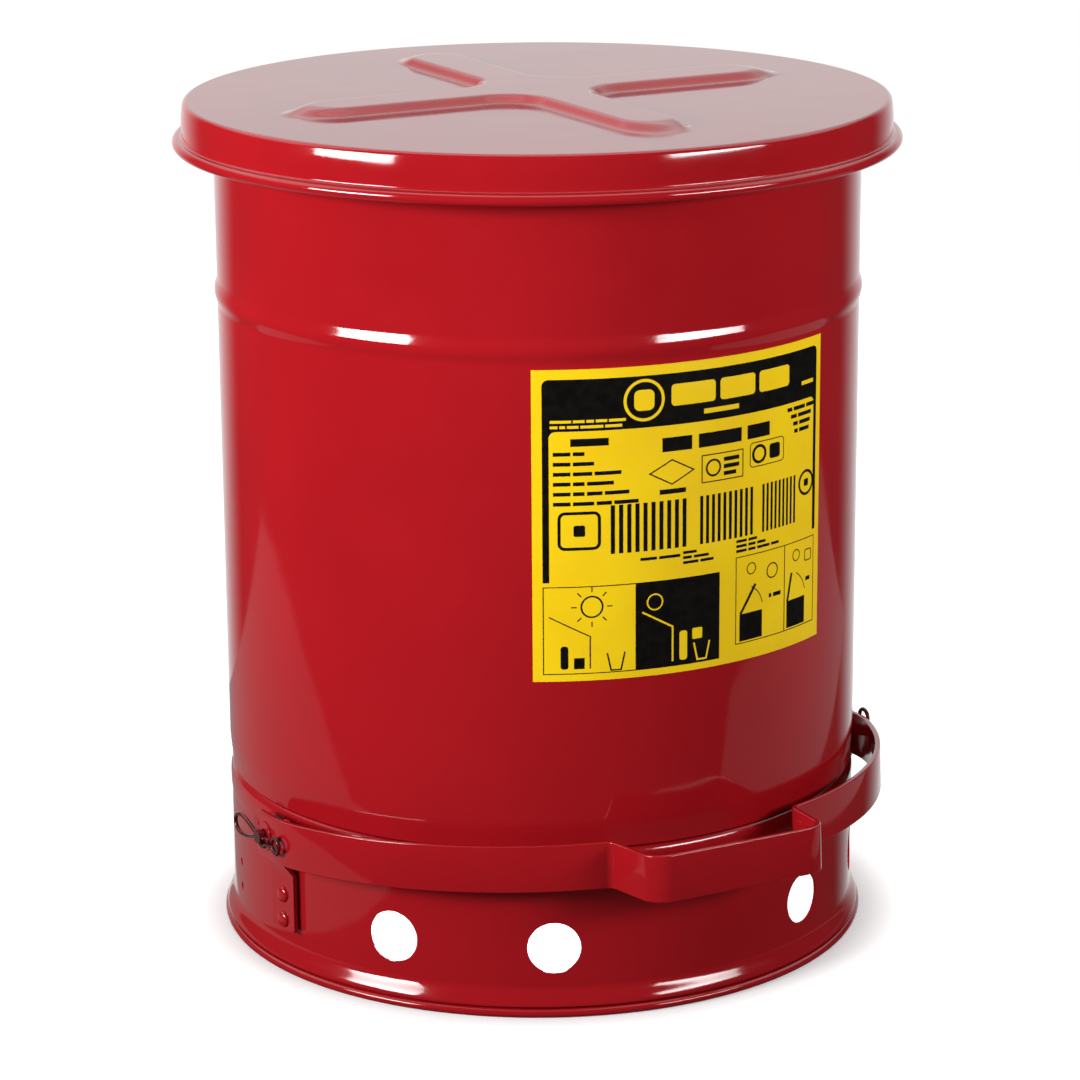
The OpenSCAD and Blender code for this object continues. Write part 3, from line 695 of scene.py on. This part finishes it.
def framed_scenes():
    """A box with a sun over a roof, a bin and plain blocks, and a box with two opened cans."""
    shapes = frame_line(5.6, 115.5, 103, 162.5, 0.5) + bar(54.3, 115.5, 103, 162.5)
    sun_x, sun_y = 31, 126.5
    shapes += ring(sun_x, sun_y, 5.6, 0.9)
    for turn in range(0, 360, 45):
        inner, outer = polar(8, turn, 0), polar(10.8, turn, 0)
        shapes += stroke([(sun_x + inner.x, sun_y + inner.y), (sun_x + outer.x, sun_y + outer.y)], 0.6)
    shapes += stroke([(8.5, 131.5), (30, 142.5), (30, 160)], 0.6)
    shapes += bar(21.5, 154, 27, 160) + bar(14.5, 147.5, 18.5, 160, 1.5) + bin_lines(39, 152, 9.5, 0.8)
    shapes += frame_line(114, 109.5, 176.5, 157, 0.5) + bar(149.6, 109.5, 150.2, 157)
    for x, slant in ((116.5, 11), (152, 4)):
        shapes += bar(x, 141, x + 16, 156)
        shapes += stroke([(x + 0.6, 141), (x + slant, 126)], 1.6)
        shapes += stroke(arc((x + 0.6, 141), 16, -62, -14, 8), 0.5)
        shapes += ring(x + 8, 117, 3.0, 0.6)
    shapes += ring(140, 121, 4.0, 0.7) + dashes(137.5, 133.5, (2, 6), 2.2)
    shapes += frame_line(168, 116, 174, 122, 0.6, 1.0) + dashes(169, 131, (4,), 2.2)
    return shapes


def black_shapes():
    """All that is printed in black."""
    return header_outline() + thin_rows() + title_and_emblems() + large_row() + framed_scenes()


def yellow_shapes():
    """What shows yellow on the black header and the black half of the first box."""
    shapes = ring(59, 18, 10.4, 1.6) + bar(53.5, 12.5, 64.5, 23.5, 3.0)
    shapes += bar(74, 11, 100, 22.5, 2.0) + bar(103, 11, 126, 22.5, 2.0) + bar(129, 11, 152, 22.5, 2.0)
    shapes += bar(93, 26, 115, 28.6)
    for row, lengths in enumerate([(11, 6, 4, 6, 9), (4, 3, 6, 12, 9)]):
        shapes += dashes(9.5, 26.6 + 2.9 * row, lengths, 1.5, 0.9)
    shapes += bar(163, 22.5, 174, 24.6)
    shapes += ring(65, 126.5, 4.2, 0.8)
    shapes += stroke([(58, 131.5), (75, 141), (75, 160)], 1.0)
    shapes += bar(79, 144, 83.5, 160, 1.5) + bar(86.5, 143.5, 92.5, 149.5, 0.8)
    shapes += bin_lines(87.5, 151.5, 9.5, 1.0)
    return shapes


def print_on_label(name, shapes, radius, material):
    """Bends flat shapes round the label as a thin film, sliced upright first so that they bend evenly."""
    bm = bmesh.new()
    for outline in shapes:
        bm.faces.new([bm.verts.new((x, 0, -y)) for x, y in outline])
    for x in steps(0, LABEL_W, 120)[1:-1]:
        everything = bm.verts[:] + bm.edges[:] + bm.faces[:]
        bmesh.ops.bisect_plane(bm, geom=everything, plane_co=(x, 0, 0), plane_no=(1, 0, 0), dist=1e-5)
    for vert in bm.verts:
        angle = FRONT - LABEL_HALF_ANGLE + 2 * LABEL_HALF_ANGLE * vert.co.x / LABEL_W
        vert.co = polar(radius, angle, LABEL_Z[1] + vert.co.z) * MM
    bm.normal_update()
    for face in bm.faces:
        middle = face.calc_center_median()
        if face.normal.dot(Vector((middle.x, middle.y, 0))) < 0:
            face.normal_flip()
    mesh = bpy.data.meshes.new(name)
    bm.to_mesh(mesh)
    bm.free()
    obj = piece(name, mesh, "drum", material)
    mesh.shade_flat()
    film = obj.modifiers.new("film", "SOLIDIFY")
    film.thickness, film.offset = PRINT_T * MM, 1.0


# ---- Lid ----

def cross_loop(inset, tip=0.0):
    """The raised cross from above as a loop of points, drawn in by inset, its arms longer by tip."""
    half_w = RIB_HALF_W - inset
    fillet = RIB_FILLET + inset
    end_at = RIB_REACH - RIB_HALF_W
    quarter = arc((end_at, 0), (half_w + tip, half_w), -90, 90, 24)[:-1]
    quarter += [(x, half_w) for x in steps(end_at, half_w + fillet, 20)[:-1]]
    quarter += arc((half_w + fillet, half_w + fillet), fillet, 270, 180, 20)[:-1]
    quarter += [(half_w, y) for y in steps(half_w + fillet, end_at, 20)[:-1]]
    turns = [Matrix.Rotation(math.radians(turn), 2) for turn in (0, 90, 180, 270)]
    return [turn @ Vector(p) for turn in turns for p in quarter]


def lid_edge():
    """The flat top's radius, and (radius, height) points of the corner, the skirt and the rolled bead."""
    lean = math.radians(LID_LEAN)
    flat_r = LID_R - LID_LEAN_R * (1 - math.cos(lean)) - LID_CORNER_R * math.cos(lean)
    edge = arc((flat_r, TOP_Z - LID_CORNER_R), LID_CORNER_R, 84, LID_LEAN, 9)
    lean_foot = edge[-1][1] - LID_LEAN_R * math.sin(lean)
    edge += arc((LID_R - LID_LEAN_R, lean_foot), LID_LEAN_R, LID_LEAN, 0, 8)[1:]
    across = LID_R + LID_BEAD_FILLET - LID_BEAD[0]
    up = math.sqrt((LID_BEAD_R + LID_BEAD_FILLET) ** 2 - across ** 2)
    meet = math.degrees(math.atan2(up, across))
    edge += arc((LID_BEAD[0] + across, LID_BEAD[1] + up), LID_BEAD_FILLET, 180, meet + 180, 6)
    return flat_r, edge + arc(LID_BEAD, LID_BEAD_R, meet, -200, 30)[1:]


def lid_loops():
    """The lid's outer face as equal loops of points, from the top of the cross out to the bead."""
    rise = sum(RIB_SLOPE)
    loops = []
    for inset in (RIB_SLOPE[1] + 4, RIB_SLOPE[1] + 1.5):
        loops.append([Vector((*p, TOP_Z + RIB_H)) for p in cross_loop(inset)])
    for t in steps(1, 0, 16):
        outline = cross_loop(rise * t - RIB_SLOPE[0], RIB_TIP * (1 - t))
        loops.append([Vector((*p, TOP_Z + RIB_H * firm_step(t, 0.42))) for p in outline])
    foot = loops[-1]
    first_tip = 12
    angles = [360 * (i - first_tip) / len(foot) for i in range(len(foot))]
    flat_r, edge = lid_edge()
    for share in (0.12, 0.4, 0.7, 0.95, 1.0):
        loops.append([p.lerp(polar(flat_r, a, TOP_Z), share) for p, a in zip(foot, angles)])
    return loops + [[polar(r, a, z) for a in angles] for r, z in edge]


def sheet_mesh(name, loops):
    """An open sheet in metres through equal loops of points in millimetres, closed inside the first one."""
    bm = bmesh.new()
    rows = [[bm.verts.new(p * MM) for p in loop] for loop in loops]
    bm.faces.new(rows[0])
    for row, below in zip(rows, rows[1:]):
        for k in range(len(row)):
            n = (k + 1) % len(row)
            bm.faces.new((row[k], below[k], below[n], row[n]))
    mesh = bpy.data.meshes.new(name)
    bm.normal_update()
    bm.to_mesh(mesh)
    bm.free()
    return mesh


def lid_shell():
    """One pressed sheet: the raised cross, the flat top, the upright skirt and the rolled bead."""
    mesh = sheet_mesh("lid_sheet", lid_loops())
    obj = piece("lid_sheet", mesh, "lid", ENAMEL, ["lid_shell"], crease=60)
    sheet = obj.modifiers.new("sheet", "SOLIDIFY")
    sheet.thickness, sheet.offset, sheet.use_even_offset = SHEET * MM, -1.0, True
    even = obj.modifiers.new("even_shading", "WEIGHTED_NORMAL")
    even.keep_sharp = True


# ---- Pedal ----

def rounded_section(half_w, half_h, radius):
    """A box section with rounded edges, as (across, up) points."""
    corners = [(1, -1, -90), (1, 1, 0), (-1, 1, 90), (-1, -1, 180)]
    return [p for sx, sy, turn in corners
            for p in arc((sx * (half_w - radius), sy * (half_h - radius)), radius, turn, turn + 90, 4)]


def strap_path():
    """The strap's middle line from end to end, round the drum and the step, with close points at its ends."""
    side_bend, root_bend = 70, 6
    past_side, before_root = 0.06, 0.045
    middle_r, side_x = STRAP_R - STRAP_T / 2, STRAP_SIDE_X - STRAP_T / 2
    root_x = STEP_HALF_W + STEP_SPLAY - STRAP_T / 2
    corner = (STEP_HALF_W - STRAP_T / 2, STEP_FRONT_Y + STRAP_T / 2, 0)

    def on_arc(x):
        return (x, -math.sqrt(middle_r ** 2 - x ** 2), 0)

    first_angle, last_angle = math.asin(side_x / middle_r), math.asin(root_x / middle_r)
    half = [((side_x, STRAP_END_Y, 0), 0), (on_arc(side_x), side_bend)]
    half += [((middle_r * math.sin(a), -middle_r * math.cos(a), 0), 0)
             for a in steps(first_angle - past_side, last_angle + before_root, 40)]
    half += [(on_arc(root_x), root_bend), (corner, STEP_CORNER_R - STRAP_T / 2)]
    other_half = [((-p[0], p[1], 0), r) for p, r in reversed(half)]
    path = bent(half + other_half, 10)
    near_end = [Vector((side_x, STRAP_END_Y - d, 0)) for d in (0.25, 0.8, 1.6, 2.7, 4.0)]
    near_other = [Vector((-p.x, p.y, 0)) for p in reversed(near_end)]
    return path[:1] + near_end + path[1:-1] + near_other + path[-1:]


def pedal_strap():
    """The flat bar bent round the drum, with the step bent out at its front and rounded ends."""
    path = strap_path()
    last = len(path) - 1
    tilt = Matrix.Translation((0, PIVOT_Y, PIVOT_Z)) @ Matrix.Rotation(math.radians(-PEDAL_TILT), 4, "X")
    tilt = tilt @ Matrix.Translation((0, -PIVOT_Y, 0))
    edge_r, end_share = 0.7, 0.8
    rings = []
    for i, point in enumerate(path):
        along = (path[min(i + 1, last)] - path[max(i - 1, 0)]).normalized()
        across = Vector((-along.y, along.x, 0))
        to_end = min((point - path[0]).length, (point - path[-1]).length)
        drop = STRAP_END_R - math.sqrt(STRAP_END_R ** 2 - max(0.0, STRAP_END_R - to_end) ** 2)
        section = rounded_section(STRAP_T / 2, STRAP_H / 2 - drop * end_share, edge_r)
        rings.append([tilt @ (point + across * u + Vector((0, 0, v))) for u, v in section])
    solid("pedal_bar", skin(rings), "pedal", ENAMEL, ["pedal_strap"], crease=60)


def hairpin(name, node, x, tilt, bump_side):
    """A wire clip on the shaft's tip: straight leg, long loop, bump over the shaft, and round eye."""
    leg_end, bump_r, eye_at, eye_r = 9.5, 5.45, 17.4, 4.4
    loop_start, loop_length, loop_half_w = -9.5, 26.0, 4.4
    gap = CLIP_WIRE_D + 0.4
    flat = [(leg_end, 0.0), (5.0, 0.0), (0.0, 0.0), (-5.0, 0.0)]
    for t in steps(0, 1, 32):
        swing = -loop_half_w * math.sin(2 * math.pi * t)
        flat.append((loop_start - loop_length * math.sin(math.pi * t), swing + gap * soft_step(t)))
    flat += arc((0, 0), bump_r, 148, 32, 12) + arc((eye_at, 0), eye_r, 150, -170, 30)
    turn = Matrix.Translation((x, PIVOT_Y, PIVOT_Z)) @ Matrix.Rotation(math.radians(-tilt), 4, "X")
    path = eased([turn @ Vector((0, -u, bump_side * v)) for u, v in flat], 2)
    solid(name, tube(path, CLIP_WIRE_D / 2, 14), "pedal", CLIP_WIRE, [node])


# ---- Lift rod ----

def lift_rod():
    """The round rod with a leg bent at each end."""
    low = span("lift_rod", Z)[0] + ROD_D / 2
    high = span("lift_rod", Z)[1] - ROD_D / 2
    corners = [((ROD_LEG_END, ROD_Y, low), 0), ((ROD_X, ROD_Y, low), ROD_BEND_R),
               ((ROD_X, ROD_Y, high), ROD_BEND_R), ((ROD_LEG_END, ROD_Y, high), 0)]
    shape = tube(bent(corners, 10), ROD_D / 2, 24)
    solid("lift_rod_bar", shape, "lift_rod", ZINC, ["lift_rod"])


# ---- Rivets ----

def rivets():
    """The four sets of rivets, from the (direction, radius, height) of each head's seat."""
    bracket_z, below_hinge = (30.5, 45.0), (34, 14)
    hinge_t, guide_t = 2, 1.5
    hinge_spread, guide_spread, leaf_spread = 4, 4.6, 3.4
    sides = (BRACKET_DIR, 180 - BRACKET_DIR)
    leaf_z = sum(span("lid_hinge_rivets", Z)) / 2
    bracket = [(d, BRACKET_R + BRACKET_T + GAP, z) for d in sides for z in bracket_z]
    hinge = [(REAR + s * hinge_spread, DRUM_R + hinge_t + GAP, HINGE_Z - down)
             for s in (-1, 1) for down in below_hinge]
    guide = [(GUIDE_DIR + s * guide_spread, DRUM_R + guide_t + GAP, z) for z in GUIDE_Z for s in (-1, 1)]
    leaf = [(REAR + s * leaf_spread, LID_R + hinge_t + GAP, leaf_z) for s in (-1, 1)]
    for name, node, body, places, head_d, head_h, grip in (
            ("bracket_rivet_heads", "bracket_rivets", "drum", bracket, 9.0, 2.2, 5.4),
            ("hinge_rivet_heads", "hinge_bracket_rivets", "drum", hinge, 9.0, 2.2, 3.4),
            ("guide_rivet_heads", "guide_rivets", "drum", guide, 6.5, 1.6, 2.9),
            ("lid_rivet_heads", "lid_hinge_rivets", "lid", leaf, 6.5, 1.6, 3.4)):
        shape = joined(rivet_shapes(places, head_d, head_h, grip))
        solid(name, shape, body, ENAMEL, [node], crease=50)


drum_wall()
rim_wire()
bottom_pan()
skirt_wall()
foot_ring()
label_sheet()
print_on_label("label_black_print", black_shapes(), BLACK_PRINT_R, INK)
print_on_label("label_yellow_print", yellow_shapes(), YELLOW_PRINT_R, VINYL)
lid_shell()
pedal_strap()
hairpin("hairpin_left_wire", "hairpin_left", -CLIP_X, 0, -1)
hairpin("hairpin_right_wire", "hairpin_right", CLIP_X, 40, 1)
lift_rod()
rivets()
for body, material, slot, softness, nodes in (
        ("drum", ENAMEL, "red_enamel", 0.35, ("pivot_bracket_left", "pivot_bracket_right", "hinge_bracket",
                                              "rod_guide_upper", "rod_guide_lower")),
        ("drum", ZINC, "zinc_plate", 0.2, ("hinge_pin", "hinge_pin_clip", "hinge_washers")),
        ("lid", ENAMEL, "red_enamel", 0.35, ("lid_hinge_leaf", "lift_lug")),
        ("pedal", ZINC, "zinc_plate", 0.3, ("lift_lever", "lever_roll_pin")),
        ("pedal", CLIP_WIRE, "zinc_plate", 0.3, ("pivot_shaft",)),
        ("pedal", ENAMEL, "zinc_plate", 0.15, ("pivot_washers",)),
        ("lift_rod", ZINC, "zinc_plate", 0.2, ("rod_clips",))):
    for node in nodes:
        refined(node, body, material, softness)


# ---- Camera ----

# Its place in metres, its angles in degrees, its film and lens in millimetres
CAMERA_AT = (-0.9760, -1.8356, 0.7992)
CAMERA_AZIMUTH = -28.0
CAMERA_PITCH = 15.725
CAMERA_ROLL = -0.382
CAMERA_FILM, CAMERA_LENS = 36.0, 127.8


def camera():
    """The photo's view: from the front and a little to the left, looking down at the can."""
    data = bpy.data.cameras.new("camera")
    data.sensor_width, data.lens = CAMERA_FILM, CAMERA_LENS
    obj = bpy.data.objects.new("camera", data)
    bpy.context.scene.collection.objects.link(obj)
    turn = Matrix.Rotation(math.radians(CAMERA_AZIMUTH), 4, "Z")
    turn = turn @ Matrix.Rotation(math.radians(90 - CAMERA_PITCH), 4, "X")
    turn = turn @ Matrix.Rotation(math.radians(CAMERA_ROLL), 4, "Z")
    obj.matrix_world = Matrix.Translation(CAMERA_AT) @ turn
    data.clip_start, data.clip_end = 0.01, 100
    bpy.context.scene.camera = obj


# ---- Studio ----
# Places and sizes in metres, powers in watts. White is 1.0.

FLOOR_REACH = 2.2
CHEST = Vector((0, 0, 0.42))
# The floor's painted shade: where it starts and ends from the can's axis, then colour and glow in it and
# clear of it
PAINTED_SHADE_FROM, PAINTED_SHADE_TO = 0.175, 0.217
PAINTED_SHADE_COLOUR, PAINTED_SHADE_GLOW = (0.65, 0.90), (0.32, 0.75)
# What the enamel mirrors of the lit floor, right and ahead of the can: to its left, and past its shadow
LIT_GLOW = 0.30
LIT_LEFT = [(-0.19, 0.0), (-0.25, 0.40), (-0.92, 0.35), (-0.90, 0.19), (-0.81, 0.04), (-0.70, -0.07),
            (-0.60, -0.15), (-0.49, -0.20), (-0.41, -0.23), (-0.22, -0.25)]
LIT_RIGHT = [(0.42, -0.28), (0.58, -0.30), (0.95, -0.05), (1.05, 0.45), (0.50, 0.45), (0.40, 0.0)]


def from_camera_side(right, ahead, z):
    """A point given by its distance right of and ahead of the can as the camera sees it, in metres."""
    a = math.radians(CAMERA_AZIMUTH)
    return Vector((right * math.cos(a) - ahead * math.sin(a), right * math.sin(a) + ahead * math.cos(a), z))


def round_can(azimuth, distance, z):
    """A point round the can. Azimuth 0 is towards the camera and positive is to its right."""
    a = math.radians(azimuth)
    return from_camera_side(distance * math.sin(a), -distance * math.cos(a), z)


def softbox(name, place, target, size, power, shape="RECTANGLE"):
    """An area light that faces its target."""
    data = bpy.data.lights.new(name, "AREA")
    data.shape, data.size, data.size_y = shape, size[0], size[1]
    data.energy = power
    obj = bpy.data.objects.new(name, data)
    bpy.context.scene.collection.objects.link(obj)
    obj.location = place
    obj.rotation_mode = "QUATERNION"
    obj.rotation_quaternion = (target - place).to_track_quat("-Z", "Y")
    return obj


def lit_material():
    """A black sheet with an even glow."""
    material, _, shader, _ = new_material("lit_floor", (0.0, 0.0, 0.0), 0.9, specular=0.1)
    shader.inputs["Emission Color"].default_value = (1, 1, 1, 1)
    shader.inputs["Emission Strength"].default_value = LIT_GLOW
    return material


def floor_material():
    """A white floor with shade painted round the can's foot: its colour and glow darken towards the can."""
    material, tree, shader, add = new_material("floor_white_painted_shade", (0.9, 0.9, 0.9), 0.9, specular=0.1)
    shader.inputs["Emission Color"].default_value = (1, 1, 1, 1)
    distance = add("VectorMath", [(object_coordinates(add), "Vector")], operation="LENGTH").outputs["Value"]
    # Painted shade: the floor's colour and glow fall near the can's foot, standing in for its contact shadow
    for socket, (shaded, clear) in (("Base Color", PAINTED_SHADE_COLOUR), ("Emission Strength", PAINTED_SHADE_GLOW)):
        level = ramp(add, distance, PAINTED_SHADE_FROM, PAINTED_SHADE_TO, shaded, clear)
        tree.links.new(level, shader.inputs[socket])
    return material


def flat_stage(name, corners, z, material):
    """A flat stage sheet through its corners, given right of and ahead of the can."""
    points = [from_camera_side(right, ahead, z) for right, ahead in corners]
    mesh = bpy.data.meshes.new(name)
    mesh.from_pydata(points, [], [tuple(range(len(points)))])
    mesh.materials.append(material)
    obj = bpy.data.objects.new(name, mesh)
    bpy.context.scene.collection.objects.link(obj)
    return obj


def studio_world():
    """White to the camera, dim to rough surfaces, and to mirrors a bright back and ceiling in a dark room."""
    world = bpy.data.worlds.new("studio")
    bpy.context.scene.world = world
    world.use_nodes = True
    tree = world.node_tree
    add = node_adder(tree)

    def combine(operation, a, b):
        return add("Math", [(a, 0), (b, 1)], operation=operation).outputs[0]

    def choose(test, yes, no):
        node = add("Mix", [(test, "Factor")])
        for socket, value in (("A", no), ("B", yes)):
            if isinstance(value, float):
                node.inputs[socket].default_value = value
            else:
                tree.links.new(value, node.inputs[socket])
        return node.outputs["Result"]

    direction = add("TexCoord").outputs["Generated"]
    facing = add("VectorMath", [(direction, 0)], operation="DOT_PRODUCT")
    facing.inputs[1].default_value = from_camera_side(0, 1, 0)
    behind = facing.outputs["Value"]
    height = add("SeparateXYZ", [(direction, 0)]).outputs["Z"]
    backdrop = ramp(add, behind, 0.70, 0.97, 0.05, 1.0)
    above = ramp(add, height, -0.06, 0.06, 0.9, 1.05)
    overhead = ramp(add, height, 0.30, 0.65, 0.0, 1.7)
    not_in_front = ramp(add, behind, -0.25, 0.05, 0.0, 1.0)
    ceiling = combine("MULTIPLY", overhead, not_in_front)
    mirrored = combine("ADD", combine("MULTIPLY", backdrop, above), ceiling)
    camera_white, ambient = 1.0, 0.16
    ray = add("LightPath").outputs
    strength = choose(ray["Is Camera Ray"], camera_white, choose(ray["Is Glossy Ray"], mirrored, ambient))
    background = tree.nodes["Background"]
    background.inputs["Color"].default_value = (1, 1, 1, 1)
    tree.links.new(strength, background.inputs["Strength"])


def studio_lights():
    """Two softboxes in front, a glow under the can, a light behind that mirrors don't see, and a weak sun."""
    key_left = softbox("key_left", round_can(-57, 1.72, 0.74), CHEST, (0.84, 0.50), 5.8)
    key_right = softbox("key_right", round_can(56, 1.68, 0.74), CHEST, (0.98, 0.24), 2.6)
    key_left.data.spread = key_right.data.spread = math.radians(60)
    softbox("under_can", Vector((0, 0, 0.085)), Vector((0, 0, 0)), (0.2, 0.2), 1.6, "DISK")
    behind = softbox("behind", round_can(180, 1.9, 0.95), Vector((0, 0, 0.3)), (1.6, 1.0), 10.0)
    behind.visible_glossy = False
    overhead = bpy.data.lights.new("overhead", "SUN")
    overhead.energy, overhead.angle = 0.4, math.radians(50)
    bpy.context.scene.collection.objects.link(bpy.data.objects.new("overhead", overhead))


def studio_floor():
    """The floor that the camera sees, and the lit patches under it that only reflections see."""
    square = [(a * FLOOR_REACH, b * FLOOR_REACH) for a, b in ((-1, -1), (1, -1), (1, 1), (-1, 1))]
    floor = flat_stage("floor", square, 0, floor_material())
    floor.visible_glossy = floor.visible_diffuse = False
    lit = lit_material()
    for name, corners in (("lit_floor_left", LIT_LEFT), ("lit_floor_right", LIT_RIGHT)):
        patch = flat_stage(name, corners, -0.001, lit)
        patch.visible_camera = patch.visible_diffuse = patch.visible_shadow = False


camera()
studio_world()
studio_lights()
studio_floor()
bpy.context.scene.view_settings.view_transform = "Standard"
